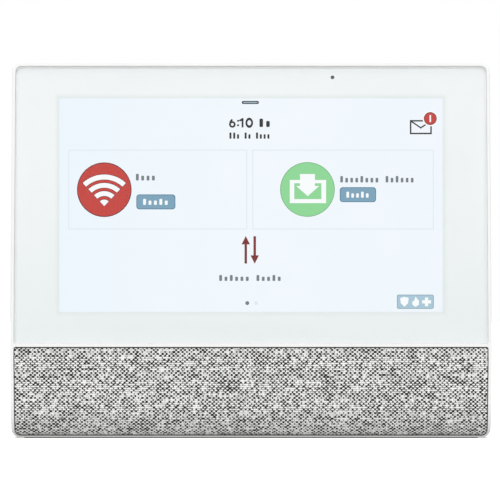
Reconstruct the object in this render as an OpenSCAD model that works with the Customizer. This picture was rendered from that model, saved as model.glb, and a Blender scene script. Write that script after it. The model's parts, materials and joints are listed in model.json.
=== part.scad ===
// A 7-inch smart display for a wall or a desk: glass-fronted screen above a
// fabric-covered speaker panel, with a hinged plate on the back that is both
// wall plate and stand.
// Millimetres. X runs across the screen, the glass faces -Y, Z is up, and the
// origin is on the floor under the middle of the body.

/* [Body] */
// Overall height
body_h = 151.5; // [151:0.5:156]
// Width across the top edge
top_w = 192.0; // [191.5:0.1:194]
// Width at the widest line, just below the glass
belly_w = 193.6; // [193:0.1:195]
// Width across the bottom edge
foot_w = 193.0; // [192:0.1:194]
// Height of the widest line
belly_z = 32; // [20:1:60]
// Depth from the front rim to the wall side of the stand plate
body_d = 30.0; // [30:0.5:34]
// Radius of the four outer corners
corner_r = 4.0; // [3:0.5:6]
// Radius of the rounded rear edges
rear_edge_r = 6.0; // [4:0.5:7]
// How far the front curves back towards the bottom edge
chin_depth = 9.0; // [6:0.5:10]
// Height at which the front starts to curve back
chin_curve_z = 15.0; // [12:0.5:18]
// Wall thickness of the mouldings
wall = 2.0; // [1.6:0.1:2.2]

/* [Glass and rim] */
// Width of the white rim beside the glass
rim_w = 1.3; // [1:0.1:1.8]
// Height of the white rim above the glass
rim_top = 1.75; // [1.4:0.05:2.2]
// Gap between the rim and the edge of the glass
glass_gap = 0.15; // [0.1:0.05:0.3]
// Height of the lower edge of the glass
glass_low_z = 38.4; // [38.3:0.1:38.8]
// Thickness of the cover glass
glass_t = 1.1; // [0.8:0.1:1.3]
// Radius of the upper corners of the glass
glass_r = 2.4; // [1.5:0.1:4]
// Radius of the lower corners of the glass
glass_low_r = 0.8; // [0.6:0.1:3]

/* [Screen] */
// Width of the picture
picture_w = 154.21; // [150:0.01:156]
// Height of the picture
picture_h = 85.92; // [84:0.01:88]
// Height of the middle of the picture
picture_z = 93.85; // [92:0.05:96]
// Width of the display module
module_w = 164.9; // [160:0.1:166]
// Height of the display module
module_h = 100.0; // [98:0.1:100.5]
// Height of the lower edge of the display module
module_low_z = 40.85; // [40.8:0.05:41]

/* [Speaker panel] */
// Height of the upper edge of the fabric
fabric_top_z = 36.8; // [36:0.1:37]
// Height of the lower edge of the fabric
fabric_low_z = 1.0; // [0.8:0.1:1.5]
// Thickness of the stretched fabric
fabric_t = 0.8; // [0.5:0.1:1]
// Distance of each driver from the middle
driver_x = 58; // [50:1:64]
// Height of the middle of the drivers
driver_z = 19; // [18.5:0.1:19.5]
// Outer radius of a driver
driver_r = 15.5; // [14:0.1:15.5]

/* [Camera] */
// Distance of the camera from the middle
camera_x = 32.8; // [28:0.1:40]
// Height of the camera
camera_z = 145.2; // [145:0.1:145.6]
// Radius of the clear hole in the border print
camera_hole_r = 0.75; // [0.5:0.05:1.5]

/* [Stand plate] */
// Half the width of the plate
plate_half_w = 70.4; // [68:0.1:70.4]
// Height of the plate's upper edge
plate_top_z = 125.4; // [122:0.1:126]
// Thickness of the plate
plate_t = 4.9; // [4.5:0.1:4.9]
// Distance between screw slots across the plate, as on a double wall box
slot_pitch_x = 46.0; // [44:0.1:48]
// Distance between screw slots up the plate, as on any wall box
slot_pitch_z = 83.3; // [80:0.1:86]
// Height of the middle of the screw slots
slot_mid_z = 75; // [70:1:78]
// Radius of the ends of a screw slot
slot_r = 2.1; // [2:0.1:2.4]
// Length of a screw slot
slot_len = 10; // [8:0.5:12]
// Radius of the hinge pin
pin_r = 1.5; // [1.2:0.1:1.6]
// Outer radius of the hinge barrels
barrel_r = 5.2; // [4.8:0.1:5.2]
// How far the rubber pads stand out of the plate
pad_proud = 0.4; // [0.2:0.1:0.6]

/* [Buttons] */
// Distance of the reset button from the middle
reset_x = 60; // [56:1:66]
// Height of the reset button
reset_z = 137; // [134:1:139]
// Height of the tamper plunger
tamper_z = 118; // [116:1:119]

/* [Hidden] */

$fn = 48;
slack = 1;            // how far a cut runs past the face that it opens

// Layers from the glass to the wall, as Y positions
front_y = -(body_d + pad_proud) / 2;
back_y = front_y + body_d;
glass_y = front_y + 0.15;
glass_high_z = body_h - rim_top - 0.2;
print_high_z = glass_high_z - 0.85;     // the upper edge of the glass stays clear above the print
print_y = glass_y + glass_t;
print_t = 0.15;
tape_y = print_y + print_t;
tape_t = 0.25;
ledge_y = tape_y + tape_t;
ledge_t = 1.85;
cell_t = 1.4;
guide_y = tape_y + cell_t;
guide_t = 2.3;
tray_floor_y = guide_y + guide_t;
tray_t = 0.5;
bracket_y = tray_floor_y + tray_t + 0.1;
bracket_t = 1.0;
standoff_y = bracket_y + bracket_t;
standoff_h = 3.0;
board_y = standoff_y + standoff_h;
board_t = 1.6;
parts_y = board_y + board_t;      // the rear face of the main board
seam_y = -3.0;                    // where the bezel meets the rear housing
bay_gap = 1.1;
bay_y = back_y - plate_t - bay_gap;
plate_y = back_y - plate_t;

// Rubber strip let into the bottom edge
foot_half = foot_w / 2 - corner_r - 1.0;
foot_back_y = seam_y - 0.6;
foot_t = 0.4;

// Speaker panel
rib_y = -5.0;                     // how far back the cross-bar reaches
fabric_recess = 0.35;
grille_inset = fabric_recess + fabric_t;
grille_t = 1.6;
opening_r_low = 2.4;              // corner radii of the speaker opening
opening_r_high = 0.8;
grille_back_y = front_y + 6.2;
baffle_y = grille_back_y + 0.1;
baffle_t = 1.8;
gasket_t = 0.5;
flange_y = baffle_y + baffle_t + gasket_t;

// Display module
window_gap = 0.25;
tray_wall = 0.6;

// Hinge at the bottom rear edge
heel_r = 5.5;                     // the rear bottom edge is round about the hinge
hinge_y = back_y - heel_r;
hinge_z = heel_r;
running_gap = 0.05;
barrel_gap = 0.6;
bay_half_w = plate_half_w + barrel_gap;
bay_top_z = plate_top_z + barrel_gap;
pin_end_x = bay_half_w + 3.5;
outer_barrel_x = 46;              // inner end of the plate's outer barrels
middle_barrel_x = 12;             // half length of the plate's middle barrel
bar_front_y = hinge_y - heel_r - 1.4;   // front of the solid bar that holds the hinge

// Fasteners that join the two mouldings
case_screw_x = 89;
case_screw_zs = [20, 84, 143];
case_boss_r = 3.0;
case_post_r = 4.5;
case_thread_r = 1.5;
case_head_y = 2.0;

// Main board and battery
board_x = [-14, 64];
board_z = [46, 134];
board_hole_xs = [-10, 60];
board_hole_zs = [50, 130];
battery_x = [-74, -18];
battery_z = [50, 126];
battery_t = 13;
battery_y = standoff_y + 0.2;
cover_x = [-68, -24];
cover_z = [56, 111];
cover_mid_x = -46;
cover_screw_z = cover_z[1] + 4;
tab_t = 1.0;                      // thickness of the cover's screw tab

// Wiring
window_x = [-16, 24];
window_z = [60, 92];
cable_hole_w = 50;
cable_hole_h = 44;
wire_r = 0.65;
joint_r = wire_r * 1.06;         // balls that close the bends of a wire

// Plugs along the lower edge of the main board
connector_z = [50, 53.5];
battery_plug_x = -4;
left_plug_x = 4;
right_plug_x = 12;

// Terminal block for the supply wires
block_x = [-10, 14];
block_z = [64, 75];
terminal_count = 4;
terminal_pitch = (block_x[1] - block_x[0]) / terminal_count;
terminal_depth = 3;               // depth of the wells over its screws
block_back_y = 7.0;

// Antennas, on the inner faces of the side walls
antenna_z = [92, 132];
antenna_y = [-2.8, 6.2];
antenna_t = 0.8;
antenna_x = top_w / 2 - wall - 0.05;

// Camera
camera_body_y = ledge_y + ledge_t;
camera_body_t = 3.6;
camera_half = 3.8;
camera_barrel_r = 2.6;
camera_room_r = 3.0;

// Microphones, under the top edge
mic_xs = [-44, 16];
mic_y = front_y + 6.2;
mic_board_z = 146.6;

// Rubber pads on the plate
pad_r = 6;
pad_t = 1.6;
pad_places = [[-58, 20], [58, 20], [-58, 114], [58, 114]];

// The places of the plate's barrels along the hinge, as [x0, x1]
plate_barrels = [
    [-plate_half_w, -outer_barrel_x],
    [-middle_barrel_x, middle_barrel_x],
    [outer_barrel_x, plate_half_w]
];

// ---------------------------------------------------------------- outlines

// Half the width of the body at height z
function half_w(z) =
    z > belly_z
        ? belly_w / 2 + (top_w - belly_w) / 2 * (z - belly_z) / (body_h - belly_z)
        : foot_w / 2 + (belly_w - foot_w) / 2 * z / belly_z;

// A quarter turn of points round a corner, starting at angle a
function corner(cx, cz, r, a, steps = 6) =
    [for (i = [0 : steps]) [cx + r * cos(a + 90 * i / steps), cz + r * sin(a + 90 * i / steps)]];

// The body's outline between two heights, set in from its sides
function panel_points(low, high, inset, r_low, r_high) =
    let (
        xl = half_w(low + r_low) - inset - r_low,
        xh = half_w(high - r_high) - inset - r_high,
        belly = low < belly_z && high > belly_z
    )
    concat(
        corner(xl, low + r_low, r_low, -90),
        belly ? [[belly_w / 2 - inset, belly_z]] : [],
        corner(xh, high - r_high, r_high, 0),
        corner(-xh, high - r_high, r_high, 90),
        belly ? [[-belly_w / 2 + inset, belly_z]] : [],
        corner(-xl, low + r_low, r_low, 180)
    );

// Side view of the body as [y, z], set in from its surface
function side_points(inset) =
    let (
        steps = 12,
        top = body_h + slack,
        chin_y = front_y + chin_depth,
        r = rear_edge_r - inset
    )
    concat(
        [for (i = [0 : steps])
            let (t = 90 * i / steps)
            [chin_y - (chin_depth - inset) * cos(t), chin_curve_z - (chin_curve_z - inset) * sin(t)]],
        [[chin_y, -slack], [hinge_y, -slack]],
        [for (i = [0 : steps])
            let (t = -90 + 90 * i / steps)
            [hinge_y + (heel_r - inset) * cos(t), hinge_z + (heel_r - inset) * sin(t)]],
        corner(back_y - rear_edge_r, body_h - rear_edge_r, r, 0, 8),
        [[back_y - rear_edge_r, top], [front_y + inset, top]]
    );

// Top view of the body as [x, y], set in from its surface
function plan_points(inset) =
    let (r = rear_edge_r - inset, side = belly_w / 2 + slack, x = belly_w / 2 - rear_edge_r)
    concat(
        [[-side, front_y - slack], [side, front_y - slack], [side, back_y - rear_edge_r]],
        corner(x, back_y - rear_edge_r, r, 0, 8),
        corner(-x, back_y - rear_edge_r, r, 90, 8),
        [[-side, back_y - rear_edge_r]]
    );

// A rectangle with round corners, as [x, z] points about its middle
function round_rect(w, h, r) = concat(
    corner(w / 2 - r, -h / 2 + r, r, -90, 4),
    corner(w / 2 - r, h / 2 - r, r, 0, 4),
    corner(-w / 2 + r, h / 2 - r, r, 90, 4),
    corner(-w / 2 + r, -h / 2 + r, r, 180, 4)
);

// -------------------------------------------------------------- primitives

// An [x, z] outline made solid from y0 to y1
module slab(points, y0, y1) {
    translate([0, y1, 0])
        rotate([90, 0, 0])
            linear_extrude(y1 - y0)
                polygon(points);
}

// A block between two values on each axis
module block(xs, ys, zs) {
    translate([xs[0], ys[0], zs[0]])
        cube([xs[1] - xs[0], ys[1] - ys[0], zs[1] - zs[0]]);
}

// A round bar along Y
module bar_y(x, z, r, y0, y1) {
    translate([x, y0, z])
        rotate([-90, 0, 0])
            cylinder(r = r, h = y1 - y0);
}

// A round bar along X about the hinge axis
module hinge_bar(r, x0, x1) {
    translate([x0, hinge_y, hinge_z])
        rotate([0, 90, 0])
            cylinder(r = r, h = x1 - x0);
}

// A shape turned about an axis along Y; its outline is [radius, y]
module turned(x, z, points) {
    translate([x, 0, z])
        rotate([-90, 0, 0])
            rotate_extrude($fn = 64)
                polygon(points);
}

// A screw head with a cross recess, facing the wall
module screw_head(x, z, y, r, h) {
    difference() {
        bar_y(x, z, r, y, y + h);
        for (turn = [0, 90])
            translate([x, y + h, z])
                rotate([0, turn, 0])
                    cube([r * 1.1, h, r * 0.25], center = true);
    }
}

// A screw that points towards the glass
module screw(x, z, head_y, head_r, head_h, shank_r, shank_len) {
    union() {
        screw_head(x, z, head_y, head_r, head_h);
        bar_y(x, z, shank_r, head_y - shank_len, head_y + 0.1);
    }
}

// A wire through points, round at its bends
module wire(points, r = wire_r) {
    for (i = [0 : len(points) - 2])
        let (
            a = points[i],
            b = points[i + 1],
            d = b - a,
            length = norm(d)
        )
        translate(a)
            rotate([0, acos(d[2] / length), atan2(d[1], d[0])])
                cylinder(r = r, h = length, $fn = 24);
    if (len(points) > 2)
        for (i = [1 : len(points) - 2])
            translate(points[i])
                sphere(r = joint_r, $fn = 24);
}

// The whole body, set in from its surface, from y0 to y1
module body_block(inset, y0, y1) {
    intersection() {
        slab(panel_points(inset, body_h - inset, inset, corner_r - inset, corner_r - inset), y0, y1);
        translate([-belly_w, 0, 0])
            rotate([90, 0, 90])
                linear_extrude(2 * belly_w)
                    polygon(side_points(inset));
        translate([0, 0, -slack])
            linear_extrude(body_h + 2 * slack)
                polygon(plan_points(inset));
    }
}

// The curved front of the speaker opening: gap is the room to its edge, inset the depth under the rim
module chin_block(gap, inset, y1) {
    intersection() {
        slab(
            panel_points(
                fabric_low_z + gap, fabric_top_z - gap, rim_w + gap,
                max(opening_r_low - gap, 0.3), max(opening_r_high - gap, 0.3)
            ),
            front_y - slack, y1
        );
        translate([-belly_w, 0, 0])
            rotate([90, 0, 90])
                linear_extrude(2 * belly_w)
                    polygon(side_points(inset));
    }
}

// ------------------------------------------------------------ front pieces

module front_bezel() {
    pocket_low = glass_low_z - 0.4;
    window_low = module_low_z - window_gap;
    window_high = module_low_z + module_h + window_gap;
    window_half = module_w / 2 + window_gap;
    ledge_back = ledge_y + ledge_t;
    bar_zs = [fabric_top_z - 6.8, glass_low_z + 6.6];
    bar_half = belly_w / 2 - 2.8;
    tie_end_x = 95.5;             // ties join the lowest screw bosses to the side walls
    tie_half = 0.8;
    flex_room = [18, 52];
    color("white")
    difference() {
        union() {
            difference() {
                body_block(0, front_y - slack, seam_y);
                // pocket for the glass
                slab(
                    panel_points(pocket_low, body_h - rim_top, rim_w, glass_low_r, glass_r),
                    front_y - 2 * slack, ledge_y
                );
                // opening for the display module
                block([-window_half, window_half], [front_y, seam_y], [window_low, window_high]);
                // opening for the speaker panel
                slab(
                    panel_points(fabric_low_z, fabric_top_z, rim_w, opening_r_low, opening_r_high),
                    front_y - 2 * slack, rib_y
                );
                // room behind the ledge, above the cross-bar
                slab(
                    panel_points(pocket_low, body_h - wall, wall, 0.5, corner_r - wall),
                    ledge_back, seam_y + slack
                );
                // room behind the speaker panel
                slab(
                    panel_points(wall, fabric_top_z, wall, corner_r - wall, 0.5),
                    rib_y - 2 * slack, seam_y + slack
                );
                // the cross-bar ends at rib_y
                block([-bar_half, bar_half], [rib_y, seam_y + slack], bar_zs);
            }
            for (side = [-1, 1]) {
                for (z = [case_screw_zs[1], case_screw_zs[2]])
                    bar_y(side * case_screw_x, z, case_boss_r, ledge_back - 0.2, seam_y);
                bar_y(side * case_screw_x, case_screw_zs[0], case_boss_r, flange_y, seam_y);
                block(
                    side > 0 ? [case_screw_x, tie_end_x] : [-tie_end_x, -case_screw_x],
                    [flange_y, seam_y],
                    [case_screw_zs[0] - tie_half, case_screw_zs[0] + tie_half]
                );
            }
        }
        for (side = [-1, 1])
            for (z = case_screw_zs)
                bar_y(side * case_screw_x, z, case_thread_r, ledge_back + 0.8, seam_y + slack);
        // rebate for the foot strip
        block([-foot_half, foot_half], [front_y, foot_back_y], [-slack, foot_t]);
        // camera and display flex pass the ledge
        bar_y(camera_x, camera_z, camera_room_r, front_y, ledge_back + slack);
        block(flex_room, [ledge_y - 0.1, ledge_back + slack], [module_low_z - 1.45, module_low_z]);
        // microphone ports in the top edge
        for (x = mic_xs)
            translate([x, mic_y, body_h - 2 * wall])
                cylinder(r = 0.6, h = 3 * wall, $fn = 24);
    }
}

// A thin anti-slip strip, flush with the bottom and with the curved front
module foot_strip() {
    color("black")
        intersection() {
            body_block(0, front_y - slack, foot_back_y);
            block([-foot_half, foot_half], [front_y, foot_back_y], [-slack, foot_t]);
        }
}

module cover_glass() {
    inset = rim_w + glass_gap;
    color([0.9, 0.95, 0.96, 0.35])
        slab(
            panel_points(glass_low_z, glass_high_z, inset, glass_low_r, glass_r),
            glass_y, print_y
        );
}

module glass_border_print() {
    inset = rim_w + glass_gap + 0.2;
    color("whitesmoke")
    difference() {
        slab(
            panel_points(glass_low_z + 0.2, print_high_z, inset, glass_low_r, glass_r),
            print_y, tape_y
        );
        block(
            [-picture_w / 2, picture_w / 2],
            [print_y - slack, tape_y + slack],
            [picture_z - picture_h / 2, picture_z + picture_h / 2]
        );
        bar_y(camera_x, camera_z, camera_hole_r, print_y - slack, tape_y + slack);
    }
}

module glass_adhesive() {
    inset = rim_w + 1.0;
    color("dimgray")
    difference() {
        slab(
            panel_points(glass_low_z + 0.4, print_high_z - 0.45, inset, glass_low_r, glass_r),
            tape_y, ledge_y
        );
        block(
            [-module_w / 2 - 0.5, module_w / 2 + 0.5],
            [tape_y - slack, ledge_y + slack],
            [module_low_z - 0.5, module_low_z + module_h + 0.5]
        );
        bar_y(camera_x, camera_z, camera_room_r, tape_y - slack, ledge_y + slack);
    }
}

// --------------------------------------------------------- display module

module lcd_panel() {
    color("lightcyan")
        block(
            [-module_w / 2, module_w / 2],
            [tape_y, guide_y],
            [module_low_z, module_low_z + module_h]
        );
}

module light_guide() {
    half = module_w / 2 - tray_wall - 0.2;
    color("ghostwhite")
        block(
            [-half, half],
            [guide_y, tray_floor_y],
            [module_low_z + tray_wall + 0.2, module_low_z + module_h - tray_wall - 0.2]
        );
}

module backlight_tray() {
    half = module_w / 2;
    color("silver")
    difference() {
        block([-half, half], [guide_y, tray_floor_y + tray_t], [module_low_z, module_low_z + module_h]);
        block(
            [-half + tray_wall, half - tray_wall],
            [guide_y - slack, tray_floor_y],
            [module_low_z + tray_wall, module_low_z + module_h - tray_wall]
        );
    }
}

// The ribbon leaves the lower edge of the cell, turns under the tray and climbs to the board
module display_flex() {
    t = 0.15;
    xs = [20, 50];
    cell_edge_y = tape_y + 0.6;
    run_z = module_low_z - 1.0;
    climb_y = parts_y + 0.3;
    color("orange")
    union() {
        block(xs, [cell_edge_y, cell_edge_y + t], [run_z, module_low_z]);
        block(xs, [cell_edge_y, climb_y + t], [run_z, run_z + t]);
        block(xs, [climb_y, climb_y + t], [run_z, connector_z[0]]);
    }
}

module display_bracket() {
    low = module_low_z + 1.6;
    high = module_low_z + module_h + 0.2;
    half = case_screw_x - case_boss_r - 0.5;
    ear = 5.0;
    color("lightsteelblue")
    difference() {
        union() {
            block([-half, half], [bracket_y, standoff_y], [low, high]);
            for (side = [-1, 1])
                for (z = [case_screw_zs[1], case_screw_zs[2] - 2])
                    translate([side * (case_screw_x - 1), bracket_y, z - ear])
                        translate([-ear, 0, 0])
                            cube([2 * ear, bracket_t, z > 100 ? ear : 2 * ear]);
        }
        for (side = [-1, 1])
            for (z = [case_screw_zs[1], case_screw_zs[2]])
                bar_y(side * case_screw_x, z, case_boss_r + 0.2, bracket_y - slack, standoff_y + slack);
        // lightening holes under the board
        for (x = [5, 25, 45])
            bar_y(x, 90, 6, bracket_y - slack, standoff_y + slack);
    }
}

// ------------------------------------------------------------- electronics

module at_board_holes() {
    for (x = board_hole_xs)
        for (z = board_hole_zs)
            translate([x, 0, z])
                children();
}

module board_standoffs() {
    color("gold")
        at_board_holes()
            difference() {
                bar_y(0, 0, 2.5, standoff_y, board_y);
                bar_y(0, 0, 1.1, standoff_y - slack, board_y + slack);
            }
}

module main_board() {
    color("darkgreen")
    difference() {
        block(board_x, [board_y, parts_y], board_z);
        at_board_holes()
            bar_y(0, 0, 1.35, board_y - slack, parts_y + slack);
    }
}

module board_screws() {
    color("gainsboro")
        at_board_holes()
            screw(0, 0, parts_y, head_r = 2.2, head_h = 1.4, shank_r = 1.05, shank_len = 4.2);
}

// A thin-walled can, open towards the board
module shield_can(x0, z0, w, h, depth) {
    skin = 0.3;
    difference() {
        block([x0, x0 + w], [parts_y, parts_y + depth], [z0, z0 + h]);
        block(
            [x0 + skin, x0 + w - skin],
            [parts_y - slack, parts_y + depth - skin],
            [z0 + skin, z0 + h - skin]
        );
    }
}

module shield_cans() {
    color("silver")
    union() {
        shield_can(-8, 80, 30, 30, 2.6);
        shield_can(30, 58, 28, 26, 2.2);
    }
}

module heat_spreader() {
    fins = 6;
    pitch = 4.4;
    color("darkgray")
    union() {
        block([-6, 20], [parts_y + 2.6, parts_y + 3.4], [82, 108]);
        for (i = [0 : fins - 1])
            block([-5.5 + i * pitch, -4.3 + i * pitch], [parts_y + 3.3, parts_y + 5.2], [83, 107]);
    }
}

module board_chips() {
    // each is [x, z, width, height, thickness]
    chips = [
        [20, 113, 9, 9, 1.1],
        [48, 88, 8, 6, 1.0],
        [22, 60, 5, 7, 1.2],
        [-9, 57, 4, 4, 1.4],
        [8, 124, 7, 5, 0.9]
    ];
    color("black")
        for (c = chips)
            block([c[0], c[0] + c[2]], [parts_y, parts_y + c[4]], [c[1], c[1] + c[3]]);
}

module board_connectors() {
    plug_w = 5;
    color("ivory")
    union() {
        block([19, 51], [parts_y, parts_y + 1.3], connector_z);
        for (x = [battery_plug_x, left_plug_x, right_plug_x])
            block([x - plug_w / 2, x + plug_w / 2], [parts_y, parts_y + 3.6], connector_z);
        // socket of the camera ribbon, on the glass side of the board
        block([camera_x - 4, camera_x + 4], [board_y - 1.2, board_y], [128, 131]);
    }
}

// Each wire terminal's place along the block
module at_terminals() {
    for (i = [0 : terminal_count - 1])
        translate([block_x[0] + terminal_pitch * (i + 0.5), 0, 0])
            children();
}

module terminal_block() {
    well_r = 1.9;
    entry_half = 1.8;
    entry_z = [block_z[0] + 1.2, block_z[0] + 4.4];
    entry_depth = 6;
    color("green")
    difference() {
        block(block_x, [parts_y, block_back_y], block_z);
        at_terminals()
            union() {
                // wire entry, facing the wall
                block([-entry_half, entry_half], [block_back_y - entry_depth, block_back_y + slack], entry_z);
                // screw well
                bar_y(0, block_z[1] - 3, well_r, block_back_y - terminal_depth, block_back_y + slack);
            }
    }
}

module terminal_screws() {
    color("silver")
        at_terminals()
            screw_head(0, block_z[1] - 3, block_back_y - terminal_depth, 1.8, 1.6);
}

module radio_module() {
    color("darkslateblue")
        block([32, 60], [parts_y, parts_y + 1.0], [98, 124]);
    color("silver")
        block([34, 58], [parts_y + 1.0, parts_y + 3.0], [100, 118]);
}

module antenna(side) {
    color("peru")
    difference() {
        block(
            side > 0 ? [antenna_x - antenna_t, antenna_x] : [-antenna_x, -antenna_x + antenna_t],
            antenna_y, antenna_z
        );
        // slots that fold the radiating strip
        for (z = [100, 110, 120])
            block([-top_w / 2, top_w / 2], [antenna_y[0] + 2, antenna_y[1] + slack], [z, z + 2]);
    }
}

module antenna_leads() {
    y = parts_y + 1.9;
    reach = antenna_x - antenna_t;
    color("dimgray")
    union() {
        wire([[54, y, 118.2], [54, y, 127], [reach, y, 127]]);
        wire([[40, y, 118.2], [40, y, 136.2], [-91, y, 136.2], [-91, y, 130], [-reach, y, 130]]);
    }
}

// ----------------------------------------------------------------- battery

module battery_pack() {
    r = battery_t / 2;
    mid_y = battery_y + r;
    color("royalblue")
    union() {
        block([battery_x[0] + r, battery_x[1] - r], [battery_y, battery_y + battery_t], battery_z);
        for (x = [battery_x[0] + r, battery_x[1] - r])
            translate([x, mid_y, battery_z[0]])
                cylinder(r = r, h = battery_z[1] - battery_z[0]);
    }
}

module battery_holder() {
    room = 0.4;
    skin = 1.2;
    outer = room + skin;
    color("darkgray")
    difference() {
        block(
            [battery_x[0] - outer, battery_x[1] + outer],
            [standoff_y, standoff_y + 6],
            [battery_z[0] - outer, battery_z[1] + outer]
        );
        block(
            [battery_x[0] - room, battery_x[1] + room],
            [standoff_y - slack, standoff_y + 6 + slack],
            [battery_z[0] - room, battery_z[1] + room]
        );
    }
}

module battery_lead() {
    y = parts_y + 3.0;
    drop_z = 46.8;
    color("firebrick")
    wire([
        [-24, y, battery_z[0]],
        [-24, y, drop_z],
        [battery_plug_x, y, drop_z],
        [battery_plug_x, y, connector_z[0]]
    ]);
}

// The screw tab of the battery cover, grown by gap for the recess that takes it
module cover_tab(gap, y1) {
    block(
        [cover_mid_x - 6 - gap, cover_mid_x + 6 + gap],
        [bay_y - tab_t, y1],
        [cover_z[1] - 2, cover_screw_z + 4.5 + gap]
    );
}

module battery_cover() {
    gap = 0.25;
    lip = 2.0;
    color("white")
    difference() {
        union() {
            block(
                [cover_x[0] + gap, cover_x[1] - gap],
                [bay_y - wall, bay_y],
                [cover_z[0] + gap, cover_z[1] - gap]
            );
            // tongue that hooks under the lower edge of the opening
            block(
                [cover_mid_x - 8, cover_mid_x + 8],
                [bay_y - wall - 1.0, bay_y - wall],
                [cover_z[0] - lip, cover_z[0] + 4]
            );
            cover_tab(0, bay_y);
        }
        bar_y(cover_mid_x, cover_screw_z, 1.7, bay_y - 2 * wall, bay_y + slack);
        // finger groove
        block(
            [cover_mid_x - 6, cover_mid_x + 6],
            [bay_y - 0.8, bay_y + slack],
            [cover_z[0] + 6, cover_z[0] + 9]
        );
    }
}

module battery_cover_screw() {
    color("gray")
        screw(
            cover_mid_x, cover_screw_z, bay_y,
            head_r = 2.7, head_h = 0.8, shank_r = 1.45, shank_len = 3.4
        );
}

// ------------------------------------------------------ camera, microphones

module camera_module() {
    color("black")
    difference() {
        union() {
            block(
                [camera_x - camera_half, camera_x + camera_half],
                [camera_body_y, camera_body_y + camera_body_t],
                [camera_z - camera_half, camera_z + camera_half]
            );
            bar_y(camera_x, camera_z, camera_barrel_r, tape_y + 0.05, camera_body_y + 0.1);
        }
        bar_y(camera_x, camera_z, 1.7, tape_y - slack, tape_y + 1.4);
    }
}

module camera_lens() {
    y = tape_y + 0.4;
    color("midnightblue")
        turned(camera_x, camera_z, concat(
            [[0, y + 0.9], [1.65, y + 0.9], [1.65, y + 0.5]],
            [for (i = [1 : 6]) [1.5 * cos(15 * i), y + 0.45 * (1 - sin(15 * i))]]
        ));
}

module camera_flex() {
    t = 0.15;
    y = camera_body_y + camera_body_t;
    color("orange")
    union() {
        block([camera_x - 3, camera_x + 3], [y, y + t], [129.5, camera_z + 2]);
        block([camera_x - 3, camera_x + 3], [y, board_y - 1.2], [129.5, 129.5 + t]);
    }
}

module microphone_board() {
    color("darkgreen")
    difference() {
        block([mic_xs[0] - 5, mic_xs[1] + 5], [mic_y - 2.4, mic_y + 2.6], [mic_board_z, mic_board_z + 0.8]);
        for (x = mic_xs)
            translate([x, mic_y, mic_board_z - slack])
                cylinder(r = 0.5, h = 3, $fn = 24);
    }
}

module microphones() {
    color("gold")
        for (x = mic_xs)
            block([x - 1.9, x + 1.9], [mic_y - 1.4, mic_y + 1.4], [mic_board_z - 1.0, mic_board_z]);
}

module microphone_boots() {
    z0 = mic_board_z + 0.8;
    color("black")
        for (x = mic_xs)
            translate([x, mic_y, z0])
                difference() {
                    cylinder(r = 2.2, h = body_h - wall - z0);
                    translate([0, 0, -slack])
                        cylinder(r = 0.7, h = 4 * slack + wall, $fn = 24);
                }
}

// ----------------------------------------------------------- speaker panel

// Rows of sound holes over each driver
module sound_holes() {
    pitch = 4.6;
    hole_r = 1.4;
    middle_z = driver_z + 2;
    for (side = [-1, 1])
        for (i = [-4 : 4])
            for (j = [-2 : 2])
                bar_y(
                    side * driver_x + i * pitch, middle_z + j * pitch, hole_r,
                    front_y - slack, grille_back_y + slack
                );
}

module speaker_grille() {
    gap = fabric_t + 0.1;
    color("dimgray")
    difference() {
        chin_block(gap, grille_inset, grille_back_y);
        chin_block(gap + grille_t, grille_inset + grille_t, grille_back_y + slack);
        sound_holes();
    }
}

module grille_fabric() {
    color("silver")
    difference() {
        chin_block(0.1, fabric_recess, grille_back_y);
        chin_block(fabric_t + 0.1, grille_inset, grille_back_y + slack);
    }
}

module speaker_baffle() {
    color("black")
    difference() {
        slab(
            panel_points(fabric_low_z + 0.6, fabric_top_z - 0.4, rim_w + 0.4, 2, 0.5),
            baffle_y, baffle_y + baffle_t
        );
        for (side = [-1, 1])
            bar_y(side * driver_x, driver_z, driver_r - 2.3, baffle_y - slack, baffle_y + baffle_t + slack);
    }
}

module speaker_frame(side) {
    depth = 4.6;
    skin = 0.6;
    y = flange_y;
    color("darkslategray")
        turned(side * driver_x, driver_z, [
            [driver_r, y], [driver_r, y + 1], [driver_r - 2.2, y + 1], [10.5, y + depth],
            [7.2, y + depth], [7.2, y + depth - skin], [10.1, y + depth - skin],
            [driver_r - 3, y + skin], [driver_r - 2.4, y]
        ]);
}

module speaker_cone(side) {
    y = flange_y - 0.1;
    thin = 0.35;
    color("lightgray")
        turned(side * driver_x, driver_z, [
            [10.6, y + 0.2], [10.6, y + 0.2 + thin], [4.2, y + 2.6 + thin], [4.2, y + 3.4],
            [3.7, y + 3.4], [3.7, y + 2.2 + thin], [0, y + 1.2 + thin], [0, y + 1.2],
            [3.6, y + 2.2], [4.4, y + 2.4]
        ]);
}

// Half a roll of the rubber ring round a cone, as [radius, y]
function surround_arc(r, y) = [for (i = [0 : 8]) [11.8 + r * cos(22.5 * i), y - 0.8 * r * sin(22.5 * i)]];

module speaker_surrounds() {
    y = flange_y;
    roll = 1.1;
    inner = surround_arc(roll - 0.3, y + 0.1);
    color("black")
        for (side = [-1, 1])
            turned(side * driver_x, driver_z, concat(
                surround_arc(roll, y),
                [for (i = [len(inner) - 1 : -1 : 0]) inner[i]]
            ));
}

module speaker_magnet(side) {
    y = flange_y + 4.6;
    color("gray")
    union() {
        bar_y(side * driver_x, driver_z, 9.0, y, y + 2.2);
        bar_y(side * driver_x, driver_z, 3.2, y - 2.0, y + 0.1);
    }
}

module speaker_gaskets() {
    color("black")
        for (side = [-1, 1])
            difference() {
                bar_y(side * driver_x, driver_z, driver_r, baffle_y + baffle_t, flange_y);
                bar_y(side * driver_x, driver_z, driver_r - 2.2, baffle_y, flange_y + slack);
            }
}

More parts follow.
